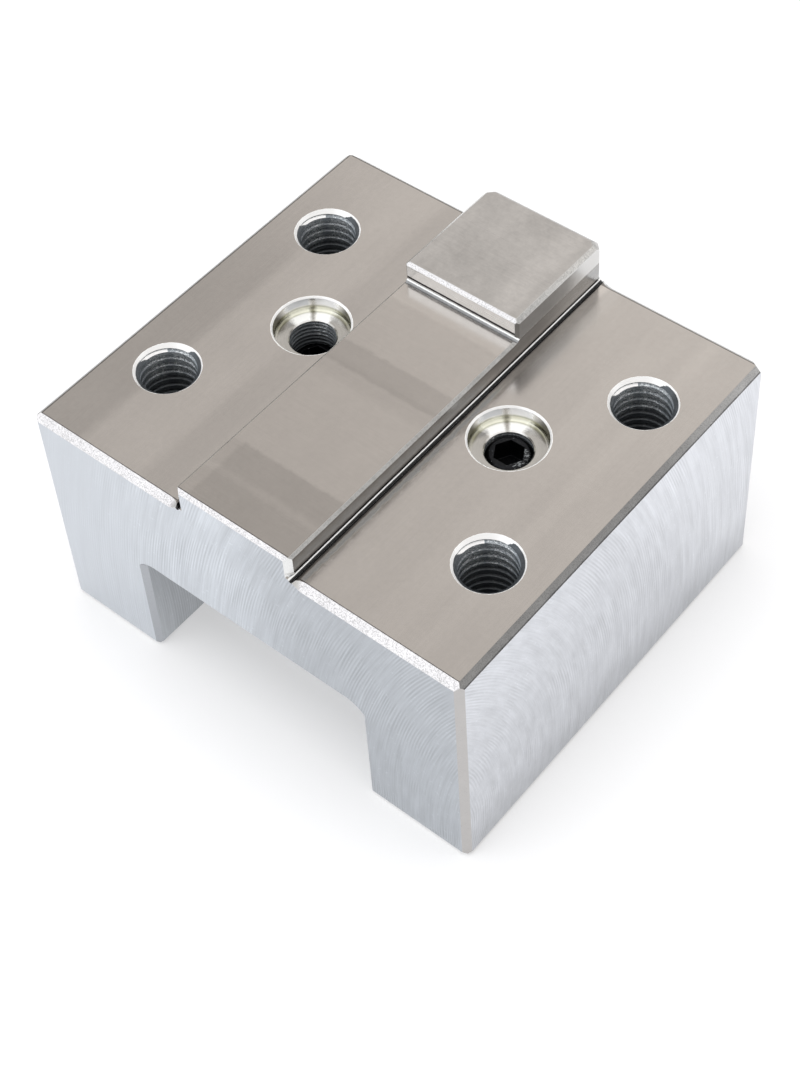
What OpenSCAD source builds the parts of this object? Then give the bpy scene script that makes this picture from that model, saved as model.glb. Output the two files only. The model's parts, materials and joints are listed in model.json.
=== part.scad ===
// Tool seat for a lathe turret: a ground steel block that bolts to the turret by its two top lands.
// A rib and a key on top line it up, and a square channel below takes the tool shanks.
// The origin is at the centre of the footprint, between the feet. +Y is the end with the key.

/* [Block] */
// Width of the block, across the channel
block_w = 94; // [92:0.5:120]
// Depth of the block, along the channel
block_d = 85; // [80:0.5:120]
// Height of the lands above the feet
block_h = 50; // [50:0.5:70]

/* [Channel] */
// Width between the channel's side walls
channel_w = 50; // [44:0.5:52]
// Height of the channel's roof above the feet
channel_h = 25; // [16:0.5:26]
// Radius of the arc in each of the roof's corners
corner_r = 4; // [2:0.25:6]
// How far that arc would reach past the side wall, which cuts it off with a kink
corner_past = 1; // [0:0.25:1.5]

/* [Rib] */
// Width of the rib and of the key on it
rib_w = 25; // [22:0.5:28]
// Height of the rib above the lands
rib_h = 5; // [4:0.25:8]

/* [Key] */
// Length of the key, from the back face
key_l = 25; // [24:0.5:34]
// Height of the key above the rib
key_h = 4.5; // [3:0.25:8]
// Width of the tenon under the key
tenon_w = 14; // [11:0.5:16]
// Length of the tenon, over its round ends
tenon_l = 21; // [20:0.5:22]
// Height of the tenon under the key
tenon_h = 9; // [7:0.5:10]
// Clearance between the tenon and the side of its pocket
tenon_gap = 0.05; // [0.02:0.01:0.2]
// Clearance under the tenon
tenon_floor_gap = 0.5; // [0.2:0.1:1.5]

/* [Key screws] */
// Thread diameter of the screws that hold the key
screw_d = 5; // [4:0.5:6]
// Core diameter of that thread, which is also the tapped hole's
screw_core_d = 4.2; // [3.2:0.1:5]
// Length of the screws under the head
screw_l = 20; // [18:1:21]
// Diameter of the screw heads
screw_head_d = 8.5; // [7:0.5:10]
// Height of the screw heads
screw_head_h = 5; // [4:0.5:6]
// Distance between the two screws
screw_pitch = 12; // [10:0.5:13]
// How far the heads stand inside the channel's roof
screw_sunk = 3; // [1:0.5:4]
// Size of the hexagon in the heads, across its flats
screw_hex = 4; // [3:0.5:5]
// Depth of the hexagon in the heads
screw_hex_h = 2.5; // [1.5:0.25:3]
// Radial clearance of the screws in the block
screw_gap = 0.25; // [0.1:0.05:0.5]
// How far the tapped holes run past the ends of the screws
screw_tap_past = 1.5; // [0.5:0.25:2]

/* [Mounting holes] */
// Distance between the hole rows, across the channel
hole_span_x = 71; // [66:0.5:76]
// Distance between the hole rows, along the channel
hole_span_y = 43; // [36:0.5:50]
// Distance from the back face to the back holes
hole_back = 20; // [15:0.5:25]
// Core diameter of the M12 thread
hole_core_d = 10.2; // [8.5:0.1:14]
// Diameter of the countersink at the mouth
hole_mouth_d = 12.3; // [12:0.1:16]
// Depth of the thread
hole_h = 30; // [20:1:36]

/* [Ports] */
// Distance between the two ports, across the channel
port_span = 44; // [42:0.5:46]
// Distance from the back face to the ports
port_back = 40; // [34:0.5:46]
// Diameter of the seat at the mouth
port_seat_d = 14; // [12:0.1:15]
// Depth of the seat
port_seat_h = 3.1; // [2:0.1:4.5]
// Radius between the seat's wall and its floor
port_seat_r = 0.6; // [0.2:0.1:1]
// Chamfer at the mouth of the seat
port_mouth_c = 0.3; // [0.1:0.05:0.5]
// Core diameter of the 1/8 inch pipe thread below the seat
port_core_d = 8.5; // [7:0.1:9]
// Chamfer at the mouth of that thread
port_thread_c = 0.25; // [0.1:0.05:0.6]
// Depth of the thread below the seat
port_thread_h = 15; // [14:0.5:16]
// Diameter of the duct from the thread to the channel
port_duct_d = 4; // [2:0.5:5]

/* [Port plugs] */
// Length of each plug
plug_l = 8; // [6:0.5:8.5]
// Depth of the left plug's end below the seat
plug_left_sunk = 5.2; // [3:0.1:5.5]
// Depth of the right plug's end below the seat
plug_right_sunk = 0.6; // [0.3:0.1:4]
// Size of the hexagon in the plugs, across its flats
plug_hex = 5; // [4:0.5:6]
// Depth of the hexagon in the plugs
plug_hex_h = 4; // [2:0.25:5]
// Chamfer at both ends of the plugs
plug_c = 0.8; // [0.4:0.1:1]
// Radial clearance of the plugs, whose thread is drawn as its core
plug_gap = 0.02; // [0.01:0.01:0.05]

/* [Edges] */
// Chamfer along the front edge of each land
front_c = 1.25; // [0.6:0.05:1.8]
// Chamfer along the back edge of each land
back_c = 1.1; // [0.6:0.05:1.8]
// Length of the rounded end of those two chamfers, which meets the rib's foot
run_out = 2.4; // [2:0.1:4]
// Chamfer along the outer side of each land
side_c = 1.1; // [0.5:0.05:2]
// Chamfer on the block's four upright edges
upright_c = 1.2; // [0.5:0.05:2]
// Chamfer round the feet
foot_c = 1; // [0.4:0.05:2]
// Chamfer round both mouths of the channel
mouth_c = 1; // [0.4:0.05:1.5]
// Chamfer on the rib's and the block's upright edges under the key, and at the rib's front
rib_upright_c = 1.1; // [0.4:0.05:1.5]
// Chamfer on the rib's front top edge
rib_front_c = 0.7; // [0.3:0.05:1.2]
// Broken edge along the rib's top
rib_top_c = 0.5; // [0.2:0.05:1]
// Chamfer along the key's top at both sides
key_side_c = 0.75; // [0.3:0.05:1.2]
// Chamfer on the key's front top edge
key_front_c = 0.65; // [0.3:0.05:1.2]
// Chamfer on the key's back top edge
key_back_c = 1.2; // [0.3:0.05:1.5]
// Chamfer on the key's front upright edges
key_upright_c = 0.56; // [0.2:0.02:1]
// Reach of the grinding relief from a root, up the wall and along the face
relief = 0.6; // [0.3:0.05:1]

/* [Hidden] */
$fn = 64;

// Extra length with which a cut passes through a face
past = 1;
// Angle between the axis and the side of a drill's point
drill_half_angle = 59;
// Edge break of screw heads and counterbores
small_c = 0.4;

back_y = block_d / 2;
front_y = -block_d / 2;
rib_top = block_h + rib_h;
key_front_y = back_y - key_l;
key_y = back_y - key_l / 2;
hole_y = back_y - hole_back - hole_span_y / 2;
port_y = back_y - port_back;
port_floor = block_h - port_seat_h;
screw_seat_z = channel_h + screw_sunk + screw_head_h;
tenon_z = rib_top - tenon_h;
key_tap_z = screw_seat_z + screw_l + screw_tap_past;
corner_x = channel_w / 2 + corner_past - corner_r;

// Bar along Z with a square section turned by 45 degrees: centred on an edge, it cuts a chamfer c wide
module edge_bar(c, l) {
    rotate([0, 0, 45])
        cube([c * sqrt(2), c * sqrt(2), l], center = true);
}

module edge_bar_x(c, l) {
    rotate([0, 90, 0])
        edge_bar(c, l);
}

module edge_bar_y(c, l) {
    rotate([90, 0, 0])
        edge_bar(c, l);
}

// The children and their mirror image on the other side of the channel
module both_sides() {
    children();
    mirror([1, 0, 0])
        children();
}

// Drilled hole with a chamfer c at its mouth, which is at z = 0, and a pointed end below its depth h
module drilled(d, h, c) {
    r = d / 2;
    rotate_extrude()
        polygon([
            [0, past],
            [0, -h - r / tan(drill_half_angle)],
            [r, -h],
            [r, -c],
            [r + c + past, past]
        ]);
}

// Section of the channel, with a roof whose corner arcs are cut off by the side walls
module channel_section() {
    intersection() {
        translate([-channel_w / 2, -past])
            square([channel_w, channel_h + past]);
        union() {
            translate([-corner_x, -past])
                square([2 * corner_x, channel_h + past]);
            translate([-channel_w / 2 - past, -past])
                square([channel_w + 2 * past, channel_h - corner_r + past]);
            for (x = [-corner_x, corner_x])
                translate([x, channel_h - corner_r])
                    circle(r = corner_r);
        }
    }
}

// Flared mouth of the channel at the front face, with the same corners as the channel's section
module channel_flare() {
    reach = mouth_c + past;
    translate([0, front_y, 0])
        intersection() {
            translate([0, 0, -past])
                linear_extrude(channel_h + mouth_c + 2 * past)
                    polygon([
                        [-channel_w / 2 - reach, -past],
                        [channel_w / 2 + reach, -past],
                        [channel_w / 2, mouth_c],
                        [-channel_w / 2, mouth_c]
                    ]);
            union() {
                translate([-corner_x, 0, 0])
                    rotate([90, 0, 90])
                        linear_extrude(2 * corner_x)
                            polygon([
                                [-past, -past],
                                [-past, channel_h + reach],
                                [mouth_c, channel_h],
                                [mouth_c, -past]
                            ]);
                translate([-channel_w / 2 - reach, -past, -past])
                    cube([channel_w + 2 * reach, reach, channel_h - corner_r + past]);
                for (x = [-corner_x, corner_x])
                    translate([x, mouth_c, channel_h - corner_r])
                        rotate([90, 0, 0])
                            cylinder(h = reach, r1 = corner_r, r2 = corner_r + reach);
            }
        }
}

// Chamfer along the front edge of the right land, from the rib outwards. A conical cutter stops short of
// the rib, so the chamfer ends in part of a cone that just reaches the rib's foot.
module land_end_chamfer(c) {
    cone_r = (run_out * run_out - c * c) / (2 * c);
    end_x = rib_w / 2 + run_out;
    translate([end_x, 0, 0])
        rotate([90, 0, 90])
            linear_extrude(block_w / 2)
                polygon([[-past, past], [-past, -c - past], [c + past, past]]);
    translate([end_x, -cone_r, -c])
        cylinder(h = c + past, r1 = cone_r, r2 = cone_r + c + past);
}

module land_end_chamfers() {
    both_sides() {
        translate([0, front_y, block_h])
            land_end_chamfer(front_c);
        translate([0, back_y, block_h])
            mirror([0, 1, 0])
                land_end_chamfer(back_c);
    }
}

// Chamfers on the outside of the block: along the lands, up the four corners and round the feet
module outer_chamfers() {
    both_sides() {
        translate([block_w / 2, 0, block_h])
            edge_bar_y(side_c, block_d + 2 * past);
        for (y = [front_y, back_y])
            translate([block_w / 2, y, block_h / 2])
                edge_bar(upright_c, block_h + 2 * past);
        for (x = [channel_w / 2, block_w / 2])
            translate([x, 0, 0])
                edge_bar_y(foot_c, block_d + 2 * past);
    }
    for (y = [front_y, back_y])
        translate([0, y, 0])
            edge_bar_x(foot_c, block_w + 2 * past);
}

// Chamfers of the rib. Those on its upright edges stand on the lands.
module rib_chamfers() {
    both_sides() {
        translate([rib_w / 2, (front_y - past + key_front_y) / 2, rib_top])
            edge_bar_y(rib_top_c, key_front_y - front_y + past);
        for (y = [front_y, back_y])
            translate([rib_w / 2, y, block_h + (rib_h + past) / 2])
                edge_bar(rib_upright_c, rib_h + past);
    }
    translate([0, front_y, rib_top])
        edge_bar_x(rib_front_c, rib_w + 2 * past);
}

// Relief slots that let a grinding wheel finish up to the rib's foot and to the key's foot
module foot_reliefs() {
    both_sides()
        translate([rib_w / 2, 0, block_h])
            edge_bar_y(relief, block_d + 2 * past);
}

module key_relief() {
    translate([0, key_front_y, rib_top])
        edge_bar_x(relief, rib_w + 2 * past);
}

// One mounting hole: countersunk, tapped and closed at its end
module mounting_hole() {
    drilled(hole_core_d, hole_h, (hole_mouth_d - hole_core_d) / 2);
}

// Half section of a port's seat, with a rounded corner at its floor and a chamfer at its mouth
module port_seat_section() {
    r = port_seat_d / 2;
    translate([0, -port_seat_h])
        square([r - port_seat_r, port_seat_h]);
    intersection() {
        translate([r - port_seat_r, port_seat_r - port_seat_h])
            circle(r = port_seat_r);
        translate([0, -port_seat_h])
            square([r, port_seat_h]);
    }
    polygon([
        [0, port_seat_r - port_seat_h],
        [r, port_seat_r - port_seat_h],
        [r, -port_mouth_c],
        [r + port_mouth_c + past, past],
        [0, past]
    ]);
}

// One port: a seat, a thread below it and a duct down into the channel
module port() {
    rotate_extrude()
        port_seat_section();
    translate([0, 0, -port_seat_h])
        drilled(port_core_d, port_thread_h, port_thread_c);
    translate([0, 0, channel_h - corner_r - block_h])
        cylinder(h = block_h - channel_h + corner_r - port_seat_h, d = port_duct_d);
}

// Outline with round ends, used by the tenon and its pocket
module obround(w, l) {
    square([w, l - w], center = true);
    for (y = [-(l - w) / 2, (l - w) / 2])
        translate([0, y])
            circle(d = w);
}

// Positions of the two screws under the key
module at_key_screws() {
    for (y = [key_y - screw_pitch / 2, key_y + screw_pitch / 2])
        translate([0, y, 0])
            children();
}

// Pocket for the tenon, with the two screw holes that come up through the channel's roof
module tenon_pocket() {
    head_r = screw_head_d / 2 + screw_gap;
    translate([0, key_y, tenon_z - tenon_floor_gap])
        linear_extrude(tenon_h + tenon_floor_gap + past)
            obround(tenon_w + 2 * tenon_gap, tenon_l + 2 * tenon_gap);
    at_key_screws() {
        translate([0, 0, channel_h])
            rotate_extrude()
                polygon([
                    [0, -past],
                    [0, screw_seat_z - channel_h],
                    [head_r, screw_seat_z - channel_h],
                    [head_r, small_c],
                    [head_r + small_c + past, -past]
                ]);
        translate([0, 0, channel_h])
            cylinder(h = tenon_z - channel_h, d = screw_d + 2 * screw_gap);
    }
}

module seat_block() {
    color([0.71, 0.69, 0.67])
        difference() {
            union() {
                translate([-block_w / 2, front_y, 0])
                    cube([block_w, block_d, block_h]);
                translate([-rib_w / 2, front_y, 0])
                    cube([rib_w, block_d, rib_top]);
            }
            translate([0, block_d / 2 + past, 0])
                rotate([90, 0, 0])
                    linear_extrude(block_d + 2 * past)
                        channel_section();
            channel_flare();
            mirror([0, 1, 0])
                channel_flare();
            land_end_chamfers();
            outer_chamfers();
            rib_chamfers();
            foot_reliefs();
            key_relief();
            for (x = [-hole_span_x / 2, hole_span_x / 2])
                for (y = [hole_y - hole_span_y / 2, hole_y + hole_span_y / 2])
                    translate([x, y, block_h])
                        mounting_hole();
            for (x = [-port_span / 2, port_span / 2])
                translate([x, port_y, block_h])
                    port();
            tenon_pocket();
        }
}

module locating_key() {
    color([0.68, 0.67, 0.65])
        difference() {
            union() {
                translate([-rib_w / 2, key_front_y, rib_top])
                    cube([rib_w, key_l, key_h]);
                translate([0, key_y, tenon_z])
                    linear_extrude(tenon_h + key_h / 2)
                        obround(tenon_w, tenon_l);
            }
            both_sides() {
                translate([rib_w / 2, key_y, rib_top + key_h])
                    edge_bar_y(key_side_c, key_l + 2 * past);
                translate([rib_w / 2, key_front_y, rib_top + key_h / 2])
                    edge_bar(key_upright_c, key_h + 2 * past);
                translate([rib_w / 2, back_y, rib_top + key_h / 2])
                    edge_bar(rib_upright_c, key_h + 2 * past);
            }
            translate([0, key_front_y, rib_top + key_h])
                edge_bar_x(key_front_c, rib_w + 2 * past);
            translate([0, back_y, rib_top + key_h])
                edge_bar_x(key_back_c, rib_w + 2 * past);
            key_relief();
            at_key_screws()
                translate([0, 0, tenon_z - past])
                    cylinder(h = key_tap_z - tenon_z + past, d = screw_core_d);
        }
}

// One socket head screw, upright with the underside of its head at z = 0 and the head below
module key_screw() {
    core_d = screw_core_d - 2 * plug_gap;
    difference() {
        union() {
            translate([0, 0, -screw_head_h])
                cylinder(h = small_c, d1 = screw_head_d - 2 * small_c, d2 = screw_head_d);
            translate([0, 0, small_c - screw_head_h])
                cylinder(h = screw_head_h - small_c, d = screw_head_d);
            cylinder(h = tenon_z - tenon_floor_gap - screw_seat_z, d = screw_d);
            cylinder(h = screw_l, d = core_d);
        }
        translate([0, 0, -screw_head_h - past])
            cylinder(h = screw_hex_h + past, d = screw_hex / cos(30), $fn = 6);
    }
}

module key_screws() {
    color([0.16, 0.16, 0.17])
        at_key_screws()
            translate([0, 0, screw_seat_z])
                key_screw();
}

// One threaded plug with its socket end at z = 0
module plug() {
    d = port_core_d - 2 * plug_gap;
    difference() {
        union() {
            translate([0, 0, -plug_c])
                cylinder(h = plug_c, d1 = d, d2 = d - 2 * plug_c);
            translate([0, 0, plug_c - plug_l])
                cylinder(h = plug_l - 2 * plug_c, d = d);
            translate([0, 0, -plug_l])
                cylinder(h = plug_c, d1 = d - 2 * plug_c, d2 = d);
        }
        translate([0, 0, -plug_hex_h])
            cylinder(h = plug_hex_h + past, d = plug_hex / cos(30), $fn = 6);
    }
}

module port_plug_left() {
    color([0.14, 0.14, 0.15])
        translate([-port_span / 2, port_y, port_floor - plug_left_sunk])
            plug();
}

module port_plug_right() {
    color([0.14, 0.14, 0.15])
        translate([port_span / 2, port_y, port_floor - plug_right_sunk])
            plug();
}

seat_block();
locating_key();
key_screws();
port_plug_left();
port_plug_right();
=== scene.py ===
# %% [markdown]
# # A tool seat for a lathe's turret
# The object is one ground steel block with a rib and a key on top and a square channel below. Its shape and
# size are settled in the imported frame, so this lesson is about what a machinist would see on it: edges
# broken with a file, real thread in the tapped holes, and a different finish on each face.

# %% Load the frame
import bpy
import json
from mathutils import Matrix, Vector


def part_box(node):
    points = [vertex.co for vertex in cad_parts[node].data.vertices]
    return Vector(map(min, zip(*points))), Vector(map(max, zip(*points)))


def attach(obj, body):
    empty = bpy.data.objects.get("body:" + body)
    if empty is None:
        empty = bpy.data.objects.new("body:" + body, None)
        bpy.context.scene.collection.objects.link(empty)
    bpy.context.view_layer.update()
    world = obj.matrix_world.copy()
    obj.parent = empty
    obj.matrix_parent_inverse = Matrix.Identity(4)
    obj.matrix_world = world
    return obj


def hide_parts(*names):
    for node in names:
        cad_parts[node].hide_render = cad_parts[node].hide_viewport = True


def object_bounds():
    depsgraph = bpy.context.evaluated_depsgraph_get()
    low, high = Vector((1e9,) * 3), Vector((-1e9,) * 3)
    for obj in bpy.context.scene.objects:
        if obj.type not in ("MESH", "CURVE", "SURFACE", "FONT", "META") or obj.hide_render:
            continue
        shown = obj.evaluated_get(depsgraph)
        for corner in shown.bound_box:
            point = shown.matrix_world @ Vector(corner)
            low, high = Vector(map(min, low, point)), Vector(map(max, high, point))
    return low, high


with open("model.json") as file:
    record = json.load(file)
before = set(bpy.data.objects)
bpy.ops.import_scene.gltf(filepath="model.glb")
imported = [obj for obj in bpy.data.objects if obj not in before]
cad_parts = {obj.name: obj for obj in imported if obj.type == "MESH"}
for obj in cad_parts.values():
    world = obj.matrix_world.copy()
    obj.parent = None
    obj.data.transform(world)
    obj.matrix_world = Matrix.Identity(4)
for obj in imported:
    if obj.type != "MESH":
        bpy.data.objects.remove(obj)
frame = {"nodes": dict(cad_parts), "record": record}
print("nodes of the frame:", sorted(frame["nodes"]))

# %% [markdown]
# ## Units and the box
# Blender counts in metres and a machinist in millimetres, so a length is written as a number times MM. The
# box of the CAD is kept before anything is added, because the finished model has to stay inside it.

# %% Units and the box
import json
import math
import bmesh
import bpy
from mathutils import Quaternion, Vector

MM = 0.001
CAD_BOX = [list(corner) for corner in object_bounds()]
LOW, HIGH = (Vector(corner) for corner in CAD_BOX)
print("size in mm:", [round(side / MM, 2) for side in HIGH - LOW])

# %% [markdown]
# ## Sizes read from the frame
# A place that another part has to meet is read from the record's mounts or from a node's box. The lands are
# the ground faces on both sides of the rib, and everything on top is measured from them.

# %% Read the sizes
MOUNTS = {mount["name"]: mount for mount in frame["record"]["mounts"]}
HOLES = MOUNTS["mounting_holes"]
LAND_Z = MOUNTS["land_face"]["pos_m"][2]
ROOF_Z = MOUNTS["channel_roof"]["pos_m"][2]
KEY_LOW, KEY_HIGH = (Vector(corner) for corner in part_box("locating_key"))
KEY_FRONT = KEY_LOW.y
RIB_HALF = KEY_HIGH.x
RIB_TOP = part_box("seat_block")[1][2]
HOLE_MIDDLE = Vector(HOLES["pos_m"])
HOLE_REACH = Vector((HOLES["dims"]["spacing_x_mm"], HOLES["dims"]["spacing_y_mm"], 0)) * MM / 2
HOLE_CENTRES = [
    HOLE_MIDDLE + Vector((side * HOLE_REACH.x, end * HOLE_REACH.y, 0))
    for side in (-1, 1)
    for end in (-1, 1)
]
PORT_CENTRES = []
for side in ("left", "right"):
    low, high = (Vector(corner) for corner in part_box("port_plug_" + side))
    PORT_CENTRES.append(Vector((*((low + high) / 2).xy, LAND_Z)))
for centre in HOLE_CENTRES + PORT_CENTRES:
    print("hole or port in mm:", [round(n / MM, 2) for n in centre])

# %% [markdown]
# ## Camera
# The photograph is taken from the front right and above, with a long lens, and its frame is cropped
# off-centre. A shift moves the picture without turning the camera, as the crop did.

# %% Place the camera
CAMERA_AT = Vector((169.33, -184.69, 324.86)) * MM
CAMERA_AZIMUTH = math.radians(42.4)
CAMERA_ELEVATION = math.radians(47.157)
CAMERA_ROLL = math.radians(-4.117)
LENS_MM = 72.88
SHIFT_Y = -0.1532
NEAR_CLIP = 10 * MM
FAR_CLIP = 20


def direction(azimuth, elevation):
    """Unit vector towards a place seen from the object: azimuth 0 is the front, 90 degrees the right."""
    return Vector((
        math.sin(azimuth) * math.cos(elevation),
        -math.cos(azimuth) * math.cos(elevation),
        math.sin(elevation),
    ))


camera = bpy.data.objects.new("camera", bpy.data.cameras.new("camera"))
bpy.context.scene.collection.objects.link(camera)
bpy.context.scene.camera = camera
camera.location = CAMERA_AT
camera.rotation_mode = "QUATERNION"
looking = -direction(CAMERA_AZIMUTH, CAMERA_ELEVATION)
camera.rotation_quaternion = looking.to_track_quat("-Z", "Y") @ Quaternion((0, 0, 1), CAMERA_ROLL)
camera.data.lens = LENS_MM
camera.data.shift_y = SHIFT_Y
camera.data.clip_start = NEAR_CLIP
camera.data.clip_end = FAR_CLIP
print("camera's distance in mm:", round(CAMERA_AT.length / MM))

# %% [markdown]
# ## Formulas that become nodes
# A finish on machined metal is a pattern: stripes, arcs, grain. It reads best as a formula, so one small
# class stands for a socket and turns arithmetic into Math nodes. Its method node adds every kind of node.

# %% A wire that can be calculated with


class Wire:
    """One output socket of a node tree. Sums and products of wires add the nodes that work them out."""

    def __init__(self, tree, socket=None):
        self.tree = tree
        self.socket = socket

    def node(self, kind, settings=None, sockets=None, out=0):
        """Adds a node, sets its settings, then its sockets, and gives the wire of one of its outputs."""
        made = self.tree.nodes.new(kind)
        for name, value in (settings or {}).items():
            setattr(made, name, value)
        for name, value in (sockets or {}).items():
            if isinstance(value, Wire):
                self.tree.links.new(value.socket, made.inputs[name])
            else:
                made.inputs[name].default_value = value
        return Wire(self.tree, made.outputs[out])

    def maths(self, operation, *values):
        """A Math node on these wires or numbers."""
        return self.node("ShaderNodeMath", {"operation": operation}, dict(enumerate(values)))

    def __add__(self, other):
        return self.maths("ADD", self, other)

    def __radd__(self, other):
        return self.maths("ADD", other, self)

    def __sub__(self, other):
        return self.maths("SUBTRACT", self, other)

    def __rsub__(self, other):
        return self.maths("SUBTRACT", other, self)

    def __mul__(self, other):
        return self.maths("MULTIPLY", self, other)

    def __rmul__(self, other):
        return self.maths("MULTIPLY", other, self)

    def __pow__(self, other):
        return self.maths("POWER", self, other)

    def between(self, low, high):
        """0 below low, 1 above high, and a smooth step from one to the other."""
        smooth_step = {"interpolation_type": "SMOOTHSTEP"}
        return self.node("ShaderNodeMapRange", smooth_step, {0: self, 1: low, 2: high})

    def within(self, low, high, soft):
        """1 from low to high and 0 outside, with soft borders of this width."""
        return self.between(low - soft, low + soft) * (1 - self.between(high - soft, high + soft))

    def size(self):
        """The number without its sign."""
        return self.maths("ABSOLUTE", self)

    def sign(self):
        """-1 below zero and 1 above."""
        return self.maths("SIGN", self)

    def wave(self):
        """The sine of this wire."""
        return self.maths("SINE", self)

    def no_more_than(self, other):
        """The smaller of this wire and another."""
        return self.maths("MINIMUM", self, other)

    def or_more(self, other):
        """The larger of this wire and another."""
        return self.maths("MAXIMUM", self, other)

    def angle_to(self, up):
        """The angle of the point (this wire, up) round the origin."""
        return self.maths("ARCTAN2", up, self)

    def axes(self):
        """The three parts of a vector."""
        parts = self.node("ShaderNodeSeparateXYZ", None, {0: self}).socket.node
        return [Wire(self.tree, part) for part in parts.outputs]

    def vector(self, *parts):
        """A vector made of up to three wires or numbers. This wire only says in which tree."""
        return self.node("ShaderNodeCombineXYZ", None, dict(enumerate(parts)))

    def tint(self, colour):
        """A colour multiplied by this wire."""
        return self.node("ShaderNodeVectorMath", {"operation": "SCALE"}, {0: colour, "Scale": self})

    def stretched(self, x, y, z):
        """A vector with each part multiplied, which makes a pattern finer or longer that way."""
        return self.node("ShaderNodeVectorMath", {"operation": "MULTIPLY"}, {0: self, 1: (x, y, z)})

    def finer(self, times):
        """A vector multiplied alike on all axes."""
        return self.stretched(times, times, times)

    def noise(self, detail=2.0, roughness=0.5):
        """Soft noise between about 0 and 1, one patch for each unit of this vector."""
        sockets = {"Vector": self, "Scale": 1.0, "Detail": detail, "Roughness": roughness}
        return self.node("ShaderNodeTexNoise", None, sockets)

    def swing(self, detail=2.0, roughness=0.5):
        """Soft noise that swings about 0, mostly between -1 and 1."""
        return (self.noise(detail, roughness) - 0.5) * 4

    def blend(self, first, second):
        """first where this wire is 0 and second where it is 1. Both are colours."""
        first, second = ((*end, 1) if isinstance(end, tuple) else end for end in (first, second))
        return self.node("ShaderNodeMix", {"data_type": "RGBA"}, {0: self, 6: first, 7: second}, out=2)

# %% [markdown]
# ## What all finishes share
# Each finish is worked out from the place on the piece, in millimetres. Painted highlights, as on lips and at
# the feet of grooves, are nearly white, and painted shade lines nearly black. A fine bump gives the metal its
# grain, and a Bevel node softens the edges.

# %% Start and finish a material
PAINTED_HIGHLIGHT_COLOUR = (0.93, 0.93, 0.92)
PAINTED_SHADE_COLOUR = (0.02, 0.02, 0.022)
PAINTED_HIGHLIGHT_METALLIC = 0.1
SOFT_EDGE = 0.1 * MM
SOFT_EDGE_SAMPLES = 4


def start_material(name):
    """A new material's Principled shader and the wire of its object coordinates in millimetres."""
    material = bpy.data.materials.new(name)
    material.use_nodes = True
    tree = material.node_tree
    shader = tree.nodes["Principled BSDF"]
    place = Wire(tree).node("ShaderNodeTexCoord", out=3)
    return material, shader, place.finer(1 / MM)


def finish_material(shader, colour, roughness, grain, bump_mm, painted_highlight_mask=None, painted_shade_mask=None, metallic=1.0):
    """Joins the wires of a finish to its shader. The first mask paints highlights and the second shade lines.
    """
    join = shader.id_data.links.new
    wire = Wire(shader.id_data)
    # A painted highlight: the colour goes nearly white and less metallic.
    if painted_highlight_mask is not None:
        colour = painted_highlight_mask.blend(colour, PAINTED_HIGHLIGHT_COLOUR)
        metallic = metallic - painted_highlight_mask * (metallic - PAINTED_HIGHLIGHT_METALLIC)
    # A painted shade line: the colour goes nearly black.
    if painted_shade_mask is not None:
        colour = painted_shade_mask.blend(colour, PAINTED_SHADE_COLOUR)
    for name, value in (("Base Color", colour), ("Roughness", roughness), ("Metallic", metallic)):
        if isinstance(value, Wire):
            join(value.socket, shader.inputs[name])
        else:
            shader.inputs[name].default_value = value
    edge = wire.node("ShaderNodeBevel", {"samples": SOFT_EDGE_SAMPLES}, {"Radius": SOFT_EDGE})
    bump = {"Strength": 1.0, "Distance": bump_mm * MM, "Height": grain, "Normal": edge}
    join(wire.node("ShaderNodeBump", None, bump).socket, shader.inputs["Normal"])

# %% [markdown]
# ## Studio
# Polished steel shows its surroundings, so the room is half of the finish. Its upper part is a warm mid
# grey, which the flat tops mirror, and lighter behind. A bright patch at the front left shows in the front
# chamfers, and one at the back right in the long chamfers. A dark horizon draws the edges.

# %% Room
ROOM_LOW = (0.34, 0.33, 0.32)
ROOM_HIGH = (0.72, 0.70, 0.68)
DARK_HORIZON = (0.16, 0.16, 0.17)
UNDER_FLOOR = (0.9, 0.92, 0.95)
# Each patch of the room: azimuth, elevation, inner and outer half width, all in degrees, and its colour.
ROOM_PATCHES = [
    (-165, 40, 5, 28, (0.90, 0.875, 0.85)),
    (124, 20, 9, 22, (1.1, 1.1, 1.1)),
    (-33, 31, 22, 42, (1.25, 1.27, 1.3)),
]


def light_room():
    world = bpy.data.worlds.new("room")
    bpy.context.scene.world = world
    world.use_nodes = True
    tree = world.node_tree
    background = tree.nodes["Background"]
    wire = Wire(tree)
    towards = wire.node("ShaderNodeTexCoord", out=0)
    height = towards.axes()[2]
    seen = height.between(-0.02, 0.4).blend(ROOM_LOW, ROOM_HIGH)
    for azimuth, elevation, inner, outer, colour in ROOM_PATCHES:
        aim = tuple(direction(math.radians(azimuth), math.radians(elevation)))
        near = wire.node("ShaderNodeVectorMath", {"operation": "DOT_PRODUCT"}, {0: towards, 1: aim}, out=1)
        near = near.between(math.cos(math.radians(outer)), math.cos(math.radians(inner)))
        seen = near.blend(seen, colour)
    seen = height.between(0.0, 0.16).blend(DARK_HORIZON, seen)
    seen = height.between(-0.03, 0.0).blend(UNDER_FLOOR, seen)
    tree.links.new(seen.socket, background.inputs["Color"])
    background.inputs["Strength"].default_value = 1.0


light_room()
print("patches of light in the room:", len(ROOM_PATCHES))

# %% [markdown]
# ## Floor
# The floor is a plain pale plane just under the feet. Part of what the camera and the mirrors see of it is
# a white glow, which lightens it without more light on the object. The rest of it takes the shadow.

# %% Floor
FLOOR_SIDE = 8
FLOOR_GAP = 0.05 * MM
FLOOR_COLOUR = (0.92, 0.93, 0.95, 1)
FLOOR_GLOW = 0.42


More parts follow.
